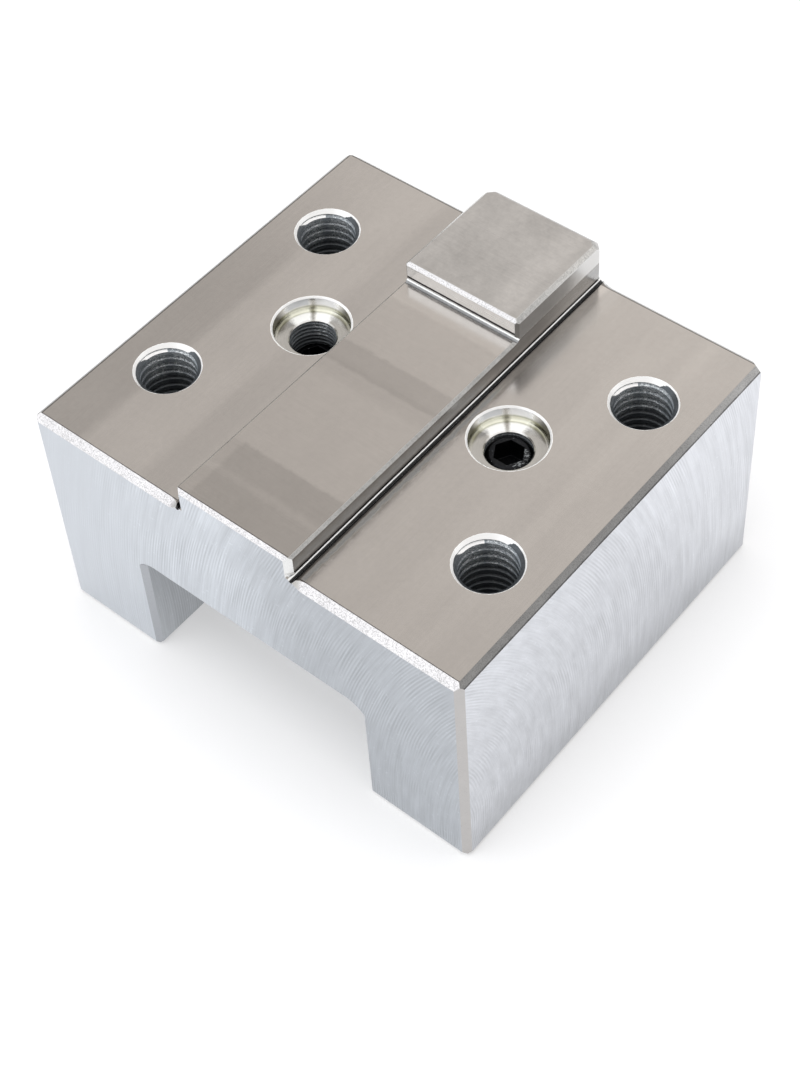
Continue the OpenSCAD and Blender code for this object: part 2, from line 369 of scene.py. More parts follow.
def lay_floor():
    bpy.ops.object.select_all(action="DESELECT")
    bpy.ops.mesh.primitive_plane_add(size=FLOOR_SIDE, location=(0, 0, LOW.z - FLOOR_GAP))
    floor = bpy.context.active_object
    floor.name = "floor"
    material = bpy.data.materials.new("pale floor")
    material.use_nodes = True
    tree = material.node_tree
    shader = tree.nodes["Principled BSDF"]
    shader.inputs["Base Color"].default_value = FLOOR_COLOUR
    shader.inputs["Roughness"].default_value = 0.9
    shader.inputs["Specular IOR Level"].default_value = 0.0
    wire = Wire(tree)
    rays = wire.node("ShaderNodeLightPath").socket.node.outputs
    camera_ray, glossy_ray, transmission_ray = (
        Wire(tree, rays["Is " + kind + " Ray"]) for kind in ("Camera", "Glossy", "Transmission")
    )
    seen = camera_ray + glossy_ray + transmission_ray
    glow = wire.node("ShaderNodeEmission", None, {"Color": (1, 1, 1, 1), "Strength": 1.0})
    paper = Wire(tree, shader.outputs[0])
    mixed = wire.node("ShaderNodeMixShader", None, {0: seen * FLOOR_GLOW, 1: paper, 2: glow})
    tree.links.new(mixed.socket, tree.nodes["Material Output"].inputs["Surface"])
    floor.data.materials.append(material)
    return floor


print("floor's height in mm:", round(lay_floor().location.z / MM, 3))

# %% [markdown]
# ## Lamp
# One large soft lamp hangs overhead and gives the floor its shadow. It is hidden from mirror rays, because
# a ground top would show it as a white square.

# %% Lamp
LAMP_ELEVATION = math.radians(88)
LAMP_HEIGHT = 1.4
LAMP_SIDE = 1.0
LAMP_WATTS = 12


def hang_lamp(name):
    lamp = bpy.data.lights.new(name, "AREA")
    lamp.shape = "SQUARE"
    lamp.size = LAMP_SIDE
    lamp.energy = LAMP_WATTS
    holder = bpy.data.objects.new(name, lamp)
    bpy.context.scene.collection.objects.link(holder)
    aim = direction(0, LAMP_ELEVATION)
    holder.location = aim * LAMP_HEIGHT
    holder.rotation_mode = "QUATERNION"
    holder.rotation_quaternion = aim.to_track_quat("Z", "Y")
    holder.visible_glossy = False
    return holder


print("lamp's height in m:", round(hang_lamp("overhead lamp").location.z, 2))

# %% [markdown]
# ## Working on a mesh
# Every operator acts on what is selected, so each helper first leaves one piece alone in the selection. A
# CAD mesh is loose triangles, so a copy of it is welded, and its flat triangles are joined to whole faces.

# %% Helpers for modelling
WELD = 0.001 * MM
FLAT_DEGREES = 0.5
CUT_TOLERANCE = 0.0001 * MM


def alone(piece):
    if bpy.context.mode != "OBJECT":
        bpy.ops.object.mode_set(mode="OBJECT")
    bpy.ops.object.select_all(action="DESELECT")
    piece.select_set(True)
    bpy.context.view_layer.objects.active = piece


def edit(piece):
    alone(piece)
    bpy.ops.object.mode_set(mode="EDIT")
    bpy.ops.mesh.select_all(action="SELECT")


def done():
    bpy.ops.object.mode_set(mode="OBJECT")


def copy_of(node, name):
    """A piece with its own copy of a CAD node's mesh, its loose triangles merged into whole faces."""
    mesh = frame["nodes"][node].data.copy()
    mesh.materials.clear()
    piece = bpy.data.objects.new(name, mesh)
    bpy.context.scene.collection.objects.link(piece)
    alone(piece)
    bpy.ops.mesh.customdata_custom_splitnormals_clear()
    edit(piece)
    bpy.ops.mesh.remove_doubles(threshold=WELD)
    bpy.ops.mesh.dissolve_limited(angle_limit=math.radians(FLAT_DEGREES))
    done()
    return piece


def open_edges(piece):
    """How many edges don't have exactly two faces. A closed piece has none."""
    mesh = bmesh.new()
    mesh.from_mesh(piece.data)
    count = sum(not line.is_manifold for line in mesh.edges)
    mesh.free()
    return count


block = copy_of("seat_block", "block")
print("faces of the block:", len(block.data.polygons), "open edges:", open_edges(block))

# %% [markdown]
# ## Slanted back corners
# At the back, the top corners of the block are cut at a slant where the chamfers meet. A bisect with a
# tilted plane does the same: it clears what lies outside and closes the cut.

# %% Slant the block's back corners
LAND_CORNER = Vector((HIGH.x - 1.76 * MM, HIGH.y - 1.03 * MM, LAND_Z))
LAND_CORNER_SLANT = Vector((0.5, 0.9, 0.5))


def slice_off(place, outwards):
    """In edit mode, cuts off all that lies beyond a plane and closes the cut."""
    bpy.ops.mesh.select_all(action="SELECT")
    bpy.ops.mesh.bisect(
        plane_co=place,
        plane_no=outwards,
        threshold=CUT_TOLERANCE,
        use_fill=True,
        clear_outer=True,
    )


def slant_back_corners(piece, corner, slant):
    """Slants both upright back edges in at the top, with a plane through a point near each."""
    edit(piece)
    for side in (-1, 1):
        place = Vector((side * corner.x, corner.y, corner.z))
        slice_off(place, Vector((side * slant.x, slant.y, slant.z)).normalized())
    done()


slant_back_corners(block, LAND_CORNER, LAND_CORNER_SLANT)
print("open edges after the slants:", open_edges(block))

# %% [markdown]
# ## Broken edges
# What the CAD lacks is what a deburring file does: a real edge is never perfectly sharp. Each outer edge
# gets a flat of about a tenth of a millimetre, which catches a thin line of light. A bevel does it, on the
# edges that bend enough. The edges inside the holes keep their own chamfers.

# %% Break the block's edges
EDGE_BREAK = 0.12 * MM
SHARP_DEGREES = 25
HOLE_KEPT = 6.6 * MM
PORT_KEPT = 7.6 * MM
POCKET_HALF = 11 * MM
POCKET_END = HIGH.y - 0.5 * MM


def hole_at(place, centres, reach):
    return any((place.xy - centre.xy).length < reach for centre in centres)


def near_a_hole(place):
    """Whether a point lies in one of the six holes from the top or in the key's pocket."""
    if hole_at(place, HOLE_CENTRES, HOLE_KEPT) or hole_at(place, PORT_CENTRES, PORT_KEPT):
        return True
    return abs(place.x) < POCKET_HALF and KEY_FRONT < place.y < POCKET_END


def pick_sharp_edges(piece, test):
    """In edit mode, selects the sharp edges whose ends both pass a test, and says how many."""
    bpy.context.tool_settings.mesh_select_mode = (False, True, False)
    bpy.ops.mesh.select_all(action="DESELECT")
    mesh = bmesh.from_edit_mesh(piece.data)
    mesh.normal_update()
    for line in mesh.edges:
        bends = len(line.link_faces) == 2 and line.calc_face_angle() > math.radians(SHARP_DEGREES)
        line.select_set(bends and all(test(corner.co) for corner in line.verts))
    bmesh.update_edit_mesh(piece.data)
    return sum(line.select for line in mesh.edges)


def break_edges(piece, test, width):
    edit(piece)
    count = pick_sharp_edges(piece, test)
    bpy.ops.mesh.bevel(offset=width, segments=1, affect="EDGES", clamp_overlap=True)
    done()
    return count


print("edges broken:", break_edges(block, lambda place: not near_a_hole(place), EDGE_BREAK))

# %% [markdown]
# ## A tap
# A tapped hole shows fine dark arcs, and no drilled wall looks like it. The tool that cuts them is a tap, so
# the lesson makes one. The outline of a single turn is drawn as five points, a Screw modifier winds it up,
# and both ends are sliced flat. The large holes are M12, and the ports have a finer pipe thread.

# %% Wind a tap
SCREW_STEPS = 64
TAP_WELD = 0.0005 * MM
M12 = {"pitch": 1.75 * MM, "root": 4.9 * MM, "crest": 5.6 * MM, "flank_degrees": 30, "crest_share": 1 / 8}
PIPE = {
    "pitch": 0.907 * MM, "root": 4.1 * MM, "crest": 4.83 * MM, "flank_degrees": 27.5, "crest_share": 1 / 12,
}


def draw_turn(rod, start, pitch, root, crest, flank_degrees, crest_share):
    """Draws one turn of a thread upwards: out along a flank, up the crest, back, and up the root."""
    flank = (crest - root) * math.tan(math.radians(flank_degrees))
    flat = pitch * crest_share
    rest = pitch - flat - 2 * flank
    edit(rod)
    bpy.context.tool_settings.mesh_select_mode = (True, False, False)
    bpy.ops.mesh.merge(type="CENTER")
    bpy.ops.transform.translate(value=(root, 0, start))
    for step in ((crest - root, 0, flank), (0, 0, flat), (root - crest, 0, flank), (0, 0, rest)):
        bpy.ops.mesh.extrude_region_move(TRANSFORM_OT_translate={"value": step})
    done()


def tap(name, centre, low, high, thread, lift=0.0):
    """A solid threaded rod on a vertical axis from low to high. Lift turns the start of its thread."""
    bpy.ops.object.select_all(action="DESELECT")
    bpy.ops.mesh.primitive_plane_add(size=1, location=(0, 0, 0))
    rod = bpy.context.active_object
    rod.name = name
    pitch = thread["pitch"]
    draw_turn(rod, low - 2 * pitch + lift, **thread)
    screw = rod.modifiers.new("wind", "SCREW")
    screw.axis = "Z"
    screw.angle = math.tau
    screw.screw_offset = pitch
    screw.iterations = math.ceil((high - low) / pitch) + 4
    screw.steps = SCREW_STEPS
    screw.render_steps = SCREW_STEPS
    bpy.ops.object.modifier_apply(modifier="wind")
    edit(rod)
    bpy.ops.mesh.remove_doubles(threshold=TAP_WELD)
    for height, outwards in ((low, -1), (high, 1)):
        slice_off((0, 0, height), (0, 0, outwards))
    bpy.ops.mesh.select_all(action="SELECT")
    bpy.ops.mesh.remove_doubles(threshold=TAP_WELD)
    bpy.ops.mesh.normals_make_consistent(inside=False)
    bpy.ops.transform.translate(value=(centre.x, centre.y, 0))
    done()
    return rod


print("pitches in mm:", [round(thread["pitch"] / MM, 3) for thread in (M12, PIPE)])

# %% [markdown]
# ## Tapping
# A Boolean takes all the taps out of the block at once. They reach past the mouth of the large holes, and
# stop just under the floor of the port seats, so that the seats stay smooth.

# %% Tap the block
PORT_FLOOR_Z = LAND_Z - 3.1 * MM
THREAD_DEPTH = 27 * MM
TAP_ABOVE = 3 * MM
THREAD_LIFT = 0.45 * MM
PORT_THREAD_LOW = PORT_FLOOR_Z - 14 * MM
PORT_THREAD_HIGH = PORT_FLOOR_Z - 0.35 * MM
taps = [
    tap("tap " + str(n), centre, LAND_Z - THREAD_DEPTH, LAND_Z + TAP_ABOVE, M12, THREAD_LIFT)
    for n, centre in enumerate(HOLE_CENTRES)
]
taps += [
    tap("port tap " + str(n), centre, PORT_THREAD_LOW, PORT_THREAD_HIGH, PIPE)
    for n, centre in enumerate(PORT_CENTRES)
]
print("open edges of the taps and the block:", [open_edges(rod) for rod in taps], open_edges(block))


def cut(piece, tools):
    """Takes closed pieces out of a piece and deletes them."""
    alone(tools[0])
    for tool in tools[1:]:
        tool.select_set(True)
    bpy.ops.object.join()
    alone(piece)
    minus = piece.modifiers.new("cut", "BOOLEAN")
    minus.operation = "DIFFERENCE"
    minus.solver = "MANIFOLD"
    minus.object = tools[0]
    bpy.ops.object.modifier_apply(modifier="cut")
    alone(tools[0])
    bpy.ops.object.delete()


cut(block, taps)
print("faces of the tapped block:", len(block.data.polygons), "open edges:", open_edges(block))

# %% [markdown]
# ## Distances from the holes
# Round each hole the lands get a thin ring of painted highlight, so the finish of the lands has to know how
# far off the nearest hole is. The holes mirror each other, so a coordinate without its sign is enough.

# %% Distances from the holes


def round_holes(place):
    """The distance in mm from the nearest mounting hole's axis and from the nearest port's axis."""
    parts = place.axes()
    middle = HOLE_MIDDLE / MM
    reach = HOLE_REACH / MM
    side = parts[0].size() - reach.x
    end = (parts[1] - middle.y).size() - reach.y
    port = PORT_CENTRES[1] / MM
    port_side = parts[0].size() - port.x
    port_end = parts[1] - port.y
    return (side ** 2 + end ** 2) ** 0.5, (port_side ** 2 + port_end ** 2) ** 0.5


print("reach of the hole pattern in mm:", [round(n / MM, 2) for n in HOLE_REACH.xy])

# %% [markdown]
# ## Ground steel
# A grinding wheel leaves steel smooth and warm in colour, with fine lines the way it ran. Each pass has its
# own tone, so a face shows soft bands side by side. The lines are noise, drawn out along the wheel's way and
# squeezed across it, and specks and clouds keep the face from looking printed.

# %% Ground steel
LINES_ALONG = 0.03
LINES_ACROSS = 4
GROUND_BUMP_MM = 0.0006


def ground(name, colour, along, bands, rough=0.2, grain=(0.03, 0.03, 0.03), marks=None, shade=None):
    """Ground steel. Its lines run along axis 0 or 1. Grain is the contrast of lines, specks and clouds.

    Bands are (low, high, soft border, change of tone) across the lines. Marks gives the painted highlights
    and the painted shade lines of a face, from its place and a ragged edge. Shade gives a tone from the
    place, which on the lands holds a painted reflection.
    """
    material, shader, place = start_material(name)
    parts = place.axes()
    wander = place.finer(0.5).swing(4, 0.65)
    across = parts[1 - along] + wander * 0.35
    run = (LINES_ALONG, LINES_ACROSS, 1) if along == 0 else (LINES_ACROSS, LINES_ALONG, 1)
    line = place.stretched(*run).swing(3, 0.7)
    speck = place.finer(0.9).swing(5, 0.7)
    cloud = place.stretched(0.11, 0.07, 0.1).swing(3, 0.55)
    tone = 1 + line * grain[0] + speck * grain[1] + cloud * grain[2]
    for low, high, soft, change in bands:
        tone = tone + across.within(low, high, soft) * change
    if shade:
        tone = tone * shade(parts[0] + wander * 0.3, parts[1] + wander * 0.3)
    painted_highlight_mask, painted_shade_mask = marks(place, speck * 0.06) if marks else (None, None)
    finish_material(shader, tone.tint(colour), rough + line * 0.03, line, GROUND_BUMP_MM, painted_highlight_mask, painted_shade_mask)
    return material


print("length of a ground line for its width:", round(LINES_ACROSS / LINES_ALONG))

# %% [markdown]
# ## Marks of the lands
# The lands carry the most marks, all of them painted light and shade: painted highlights on the lips round
# the holes, a painted reflection beside the key, and thin painted shade lines at the rims and along the
# groove at the rib's foot. Near the rib a painted reflection of its flank, which is lighter. All of it is
# told in millimetres from the edges.

# %% Marks of the lands
FRONT_Y = LOW.y / MM
LAND_FRONT = FRONT_Y + 1.25
LAND_BACK = HIGH.y / MM - 1.1
LAND_LEFT = LOW.x / MM + 1.1
GROOVE_EDGE = RIB_HALF / MM + 0.6


def painted_front_shade(y, start):
    """A thin line of painted shade behind a front chamfer."""
    return y.within(start - 0.1, start + 0.14, 0.05) * 0.7


def land_marks(place, ragged):
    hole, port = round_holes(place)
    x, y = place.axes()[:2]
    # The lips round the holes and the ports are painted highlights.
    painted_lip_highlights = (hole + ragged).within(6.1, 6.17, 0.02) + (port + ragged).within(7.27, 7.37, 0.03)
    # Painted shade along the groove, at the back and left rims and behind the front chamfer; a painted
    # reflection beside the key.
    off_groove = x.size() + ragged * 2 + y.between(-5, 15) * 0.35 - GROOVE_EDGE
    painted_groove_shade = off_groove.within(-0.2, 0.42, 0.1) * 0.62
    painted_key_reflection = (x + ragged * 4).within(14.4, 17.6, 0.8) * (y.between(13, 21) - y.between(22, 34) * 0.6)
    painted_back_rim_shade = (y + ragged).between(LAND_BACK - 0.3, LAND_BACK - 0.2)
    painted_left_rim_shade = 1 - (x + ragged).between(LAND_LEFT + 0.2, LAND_LEFT + 0.3)
    painted_rim_shade = painted_back_rim_shade.or_more(painted_left_rim_shade) * 0.6
    return painted_lip_highlights + painted_key_reflection * 0.15, painted_front_shade(y + ragged, LAND_FRONT).or_more(painted_groove_shade).or_more(painted_rim_shade)


def land_shade(x, y):
    """Lighter towards the back, most of all at the left edge, and a painted reflection of the rib's flank
    beside it.
    """
    left_edge = 1 - x.between(-37.5, -34.5)
    painted_rib_reflection = x.within(13.3, 14.7, 0.6) * (1 - y.between(6, 18) * 0.75)
    return 1 + y.between(0, 40) * 0.03 + left_edge * y.between(0, 36) * 0.17 + painted_rib_reflection


print("front and back rim of the lands in mm:", round(LAND_FRONT, 2), round(LAND_BACK, 2))

# %% [markdown]
# ## Marks of the rib and the key
# The rib's top has a painted shade line at its front and a faint one at the key's foot. At the foot of its
# flanks, and of the key's front, a painted highlight and a painted shade line show where the wheel's corner
# ran along the groove. The key's sides and the back of the flanks are painted lighter towards the back.

# %% Marks of the rib and the key
RIB_FRONT = FRONT_Y + 0.7


def rib_marks(place, ragged):
    y = place.axes()[1] + ragged
    painted_key_foot_shade = y.within(KEY_FRONT / MM - 0.8, KEY_FRONT / MM - 0.5, 0.1) * 0.2
    return None, painted_front_shade(y, RIB_FRONT) + painted_key_foot_shade


def rib_shade(x, y):
    """The front band of the rib ends short of its left edge."""
    left_edge = 1 - x.between(-10.4, -9.2)
    return 1 + left_edge * (1 - y.between(-28.5, -27.5)) * 0.13 + y.between(-5, 15) * 0.03


def flank_marks(place, ragged):
    """The flank's foot: a painted shade line, and under it a painted highlight; painted light towards the
    back.
    """
    foot = place.axes()[2] - LAND_Z / MM + ragged
    painted_highlight_mask = 1 - foot.between(0.70, 0.82) + foot.within(1.5, 2.3, 0.3) * 0.08
    return painted_highlight_mask + place.axes()[1].between(22, 36) * 0.3, foot.within(0.88, 1.24, 0.05)


def key_shade(x, y):
    return 1 + x.between(3, 8) * 0.10 - x.between(9, 11) * 0.12


def key_front_marks(place, ragged):
    # A painted highlight at the foot of the key's front, and a painted shade line just above it.
    foot = place.axes()[2] - RIB_TOP / MM + ragged
    return 1 - foot.between(0.82, 0.92), foot.within(0.97, 1.45, 0.03)


def key_side_marks(place, ragged):
    # Painted light on the key's sides, growing towards the back.
    end = place.axes()[1] + ragged * 10
    return end.between(24, 36) * 0.3 + end.between(31, 38) * 0.6, None


print("rib's front edge and top in mm:", round(RIB_FRONT, 2), round(RIB_TOP / MM, 2))

# %% [markdown]
# ## The ground faces
# The wheel ran along the channel on the lands, the rib's flanks and the key's sides, and across it on the
# other ground faces. Each band is one pass of the wheel, between two borders in millimetres, except the last
# band of the rib, which is a painted reflection of the key's front.

# %% Grind the faces
LAND_BANDS = [
    (-50, -36, 1.6, -0.17),
    (-31, -23, 2, 0.03),
    (-22, -16, 1.5, -0.07),
    (27, 33, 1, 0.03),
    (36, 39, 1, 0.04),
]
RIB_BANDS = [
    (-50, -28, 0.5, -0.17),
    (-35.4, -34, 0.6, 0.07),
    (-8, -4, 1.5, -0.07),
    (-5, 0.3, 0.4, -0.13),
    # A painted reflection of the key's front, lighter, on the rib's top just before the key.
    (12.8, 17, 0.5, 0.10),
]
KEY_BANDS = [(19, 24, 2, 0.04), (29, 34, 2, 0.03)]
KEY_TOP_GRAIN = (0.05, 0.10, 0.12)
KEY_SIDE_GRAIN = (0.05, 0.08, 0.03)
KEY_FRONT_GRAIN = (0.05, 0.06, 0.03)
FLANK_GRAIN = (0.06, 0.10, 0.03)
land_steel = ground("ground land", (0.579, 0.545, 0.514), 1, LAND_BANDS, marks=land_marks, shade=land_shade)
rib_steel = ground("ground rib", (0.552, 0.517, 0.485), 0, RIB_BANDS, marks=rib_marks, shade=rib_shade)
key_top_steel = ground("ground key", (0.57, 0.55, 0.532), 0, KEY_BANDS, 0.3, KEY_TOP_GRAIN, shade=key_shade)
# The flank and the key's sides are this ground steel painted darker, as shade, and the key's front painted
# lighter, as lit.
flank_steel = ground("ground flank", (0.238, 0.234, 0.23), 1, [], 0.22, FLANK_GRAIN, flank_marks)
key_side_steel = ground("ground key side", (0.36, 0.365, 0.37), 1, [], 0.3, KEY_SIDE_GRAIN, key_side_marks)
key_front_steel = ground(
    "ground key front", (0.855, 0.855, 0.85), 0, [], 0.26, KEY_FRONT_GRAIN, key_front_marks
)
print("bands on the lands, the rib and the key:", len(LAND_BANDS), len(RIB_BANDS), len(KEY_BANDS))

# %% [markdown]
# ## Milled faces
# A face mill leaves arcs: its inserts draw circles much larger than the block, so each face is crossed by
# one family of flat curves. The pattern is worked out from the distance to the middle of those circles. On
# top of the arcs come broad smears, where the cutter pressed harder, and small flecks of torn metal.

# %% Milled faces
FEED_MM = 0.55
FEED_CONTRAST = 0.07
FLECK_CONTRAST = 0.12
MILLED_ROUGH = 0.34
MILLED_BUMP_MM = 0.002


def milled(name, plane, centre, colour, shade=None, lines=0.10, smears=0.06):
    """Milled steel. Its arcs lie in the plane of two axes. Shade gives a tone and a contrast from both."""
    material, shader, place = start_material(name)
    parts = place.axes()
    across = parts[plane[0]] - centre[0]
    up = parts[plane[1]] - centre[1]
    radius = (across ** 2 + up ** 2) ** 0.5
    turn = across.angle_to(up)
    groove = radius.vector(radius * 3.2, turn * 6, 0.0).swing(3, 0.7)
    smear = radius.vector(radius * 0.5, turn * 9, 5.0).swing(4, 0.6)
    streak = radius.vector(radius * 0.9, turn * 3, 9.0).swing(2, 0.5)
    wobble = radius.vector(radius * 0.15, turn * 2, 2.0).swing(2, 0.5)
    feed = (radius * (math.tau / FEED_MM) + wobble * 6).wave()
    shown = place.finer(0.09).noise(1, 0.5).between(0.42, 0.6)
    fleck = place.finer(1.3).noise(3, 0.7).between(0.6, 0.72)
    pattern = groove * lines + smear * smears + streak * (smears * 0.5)
    pattern = pattern + feed * shown * FEED_CONTRAST + fleck * FLECK_CONTRAST
    tone, contrast = shade(parts[plane[0]], parts[plane[1]]) if shade else (1, 1)
    tone = (1 + pattern * contrast) * tone
    finish_material(shader, tone.tint(colour), MILLED_ROUGH + groove * 0.06, groove, MILLED_BUMP_MM)
    return material


def painted_shade_to_right(x, z):
    """The front: painted shade to the right, with more contrast there, and lighter at the rib's end."""
    rib_end = z.between(48, 52) * 0.05
    return 1.05 - x.between(-6, 16) * 0.235 + rib_end, 0.45 + x.between(-40, -12) * 0.9


def painted_light_on_sides(y, z):
    """The sides: painted shade at the foot, and painted light high up and towards the back."""
    foot = 1 - z.between(0, 14)
    return 0.95 - foot * 0.18 + z.between(20, 50) * 0.08 + (y + z * 0.6).between(24, 38) * 0.08, 1.1


# The front and the sides take painted light and painted shade from their shade functions.
front_steel = milled("milled front", (0, 2), (115, 2), (0.571, 0.60, 0.638), painted_shade_to_right)
side_steel = milled("milled side", (1, 2), (-72, 10), (0.65, 0.665, 0.70), painted_light_on_sides, 0.09, 0.085)
channel_steel = milled("milled channel", (1, 2), (-160, 10), (0.51, 0.53, 0.555))
print("arcs of the mill, mm from one to the next:", FEED_MM)

# %% [markdown]
# ## Chamfers
# The chamfers are cut last with a small cutter and left so. The front ones glitter: a coarse grain of white
# and grey. The long side ones are dull and mottled, and the upright ones plain. The long side ones, the
# upright ones and the channel's flared mouth are painted darker, as shade, and the side ones get painted
# light towards the back. A thin painted shade line lies at the lower edge of the side chamfers, and another
# on the narrow edge at the top of the front ones.

# %% Chamfers
CHAMFER_BUMP_MM = 0.004
SIDE_CHAMFER_LOW = LAND_Z / MM - 1.1
SIDE_LINE = (SIDE_CHAMFER_LOW - 0.1, SIDE_CHAMFER_LOW + 0.18, 0.05)
DULL_SHADED_TONE = (0.278, 0.275, 0.272)


def cut_edge(name, colour, grain, rough, sparkle=0.0, shade=None, painted_shade_line=None):
    """A chamfer. Grain is the contrast of its specks, and sparkle the depth of its dark grains.
    The last argument gives the heights of a painted shade line.
    """
    material, shader, place = start_material(name)
    speck = place.finer(2.6).swing(4, 0.8)
    cloud = place.finer(0.35).swing(3, 0.6)
    tone = 1 + speck * grain + cloud * grain * 0.5
    if sparkle:
        tone = tone - place.finer(4.5).noise(2, 0.8).between(0.47, 0.6) * sparkle
    if shade is not None:
        tone = tone * shade(place.axes()[1])
    painted_shade_mask = (place.axes()[2] + cloud * 0.03).within(*painted_shade_line) * 0.6 if painted_shade_line else None
    finish_material(shader, tone.tint(colour), rough + speck * 0.08, speck, CHAMFER_BUMP_MM, None, painted_shade_mask)
    return material


def painted_light_towards_back(y):
    return 1 + y.between(5, 45) * 0.8


def painted_light_on_key(y):
    return 1.1 + y.between(14, 42) * 0.9


chamfer_steel = cut_edge("cut chamfer", (0.80, 0.80, 0.79), 0.06, 0.3)
glitter_steel = cut_edge("glittering chamfer", (0.88, 0.86, 0.86), 0.10, 0.32, 0.35)
# The side chamfers are painted darker, as shade, with painted light towards the back and a painted shade
# line.
dull_steel = cut_edge("dull chamfer", DULL_SHADED_TONE, 0.16, 0.3, 0.2, painted_light_towards_back, SIDE_LINE)
# The grainy chamfers get painted light towards the back, over the key.
grainy_steel = cut_edge("grainy chamfer", (0.46, 0.455, 0.445), 0.2, 0.34, 0.3, painted_light_on_key)
# The flared mouth and the upright chamfers get darker tones, painted as shade.
flare_steel = cut_edge("channel's flared mouth", (0.45, 0.465, 0.49), 0.04, 0.32)
upright_steel = cut_edge("upright chamfer", (0.50, 0.485, 0.475), 0.04, 0.32)
# A painted shade line on the narrow edge at the top of the front chamfers.
painted_edge_shade_steel = cut_edge("dark edge", (0.10, 0.10, 0.10), 0.10, 0.4)
print("lower edge of the side chamfers in mm:", round(SIDE_CHAMFER_LOW, 2))

# %% [markdown]
# ## Seats of the ports
# A turned seat shines in sectors, because its rings catch light from two sides only. Here they are painted:
# a painted highlight away from the camera, painted shade in streaks at the sides, a painted bluish reflection
# on the wall, and a painted yellow reflection and highlight in the corner. The sectors are told by the angle
# round the port's own axis.

# %% Seats of the ports
PORT_SEAT_R = 7.0
SEAT_STEEL = (0.56, 0.545, 0.515)
PAINTED_SEAT_HIGHLIGHT = (0.97, 0.97, 0.95)
PAINTED_YELLOW_REFLECTION = (0.36, 0.355, 0.24)
PAINTED_YELLOW_HIGHLIGHT = (0.97, 0.97, 0.83)
SEAT_SHADE = (0.06, 0.056, 0.05)
PAINTED_WALL_HIGHLIGHT = (0.97, 0.97, 0.98)
PAINTED_BLUE_REFLECTION = (0.50, 0.54, 0.60)


def round_axis(place, centre):
    """Radius from a vertical axis, and the parts of the unit vector to the back left and the back right."""
    parts = place.axes()
    across = parts[0] - centre.x / MM
    along = parts[1] - centre.y / MM
    radius = (across ** 2 + along ** 2) ** 0.5
    far = direction(CAMERA_AZIMUTH + math.pi, 0)
    back = (across * far.x + along * far.y) * (radius ** -1)
    side = (across * far.y - along * far.x) * (radius ** -1)
    return radius, back, side


def port_seat(name, centre, twist):
    """A port's stepped seat. Profile runs from the floor, over the corner, up the wall, in millimetres."""
    material, shader, place = start_material(name)
    radius, back, side = round_axis(place, centre)
    height = place.axes()[2]
    ring = place.vector(radius * 4, height * 4, twist).swing(3, 0.7)
    blotch = place.stretched(0.6, 0.6, 1.2).swing(4, 0.65)
    back = back + blotch * 0.06
    side = side + blotch * 0.03
    profile = height - PORT_FLOOR_Z / MM + radius - PORT_SEAT_R
    corner = profile.within(-0.75, 1.1, 0.3)
    wall = profile.between(1.2, 1.5)
    behind = back.between(0.68, 0.84)
    painted_patch_beside = back.within(-0.35, 0.62, 0.15)
    notch = side.within(-0.04, 0.10, 0.07) * back.between(0.5, 0.7)
    colour = (1 + ring * 0.07 + blotch * 0.06).tint(SEAT_STEEL)
    # A painted highlight on the floor, on the side away from the camera, broken by a notch.
    colour = (behind * (1 - notch * 0.6)).blend(colour, PAINTED_SEAT_HIGHLIGHT)
    # A painted yellow reflection in the corner, and a lighter painted highlight in it further back.
    colour = (corner * back.between(0.0, 0.5) * (0.7 + blotch * 0.3)).blend(colour, PAINTED_YELLOW_REFLECTION)
    glow = corner * behind * profile.within(-0.5, 0.75, 0.2) * (1 - notch)
    colour = glow.blend(colour, PAINTED_YELLOW_HIGHLIGHT)
    # Painted shade in streaks at the sides.
    painted_shade_streaks = (painted_patch_beside * (0.75 + ring * 0.6)).no_more_than(1).or_more(0)
    colour = (profile.between(-0.3, 0.7) * painted_shade_streaks).blend(colour, SEAT_SHADE)
    # A painted highlight on the far wall, and a painted bluish reflection at its left.
    colour = (wall * behind * (1 - notch * 0.85)).blend(colour, PAINTED_WALL_HIGHLIGHT)
    painted_blue_part = (0 - side).between(0.02, 0.12) * wall * behind * 0.45
    colour = painted_blue_part.blend(colour, PAINTED_BLUE_REFLECTION)
    # Where the painted highlights lie, the metal is shown less metallic, so they stay white.
    painted_highlight_share = behind * (1 - notch) * 0.8
    finish_material(shader, colour, 0.17 + ring * 0.04, ring, 0.002, metallic=1 - painted_highlight_share)
    return material


seat_left_steel = port_seat("left port seat", PORT_CENTRES[0], 0.0)
seat_right_steel = port_seat("right port seat", PORT_CENTRES[1], 7.0)
print("port seats, mm across and deep:", 2 * PORT_SEAT_R, round((LAND_Z - PORT_FLOOR_Z) / MM, 2))

# %% [markdown]
# ## Thread
# The thread of the holes is dark, partly with oil and partly with painted shade. Torn crests and a few chips
# get painted glints, in sectors again, with painted light near the mouth and painted shade deep down. One
# finish serves all four large holes, because it looks at each place from the nearest hole's axis.

# %% Thread
PAINTED_THREAD_GLINT = (0.80, 0.83, 0.85)
THREAD_METALLIC = 0.35


def nearest_hole(place):
    """The place as seen from the nearest mounting hole's axis."""
    parts = place.axes()
    middle = HOLE_MIDDLE.y / MM
    side = parts[0].sign() * (HOLE_REACH.x / MM)
    end = (parts[1] - middle).sign() * (HOLE_REACH.y / MM)
    return place.vector(parts[0] - side, parts[1] - end - middle, parts[2])


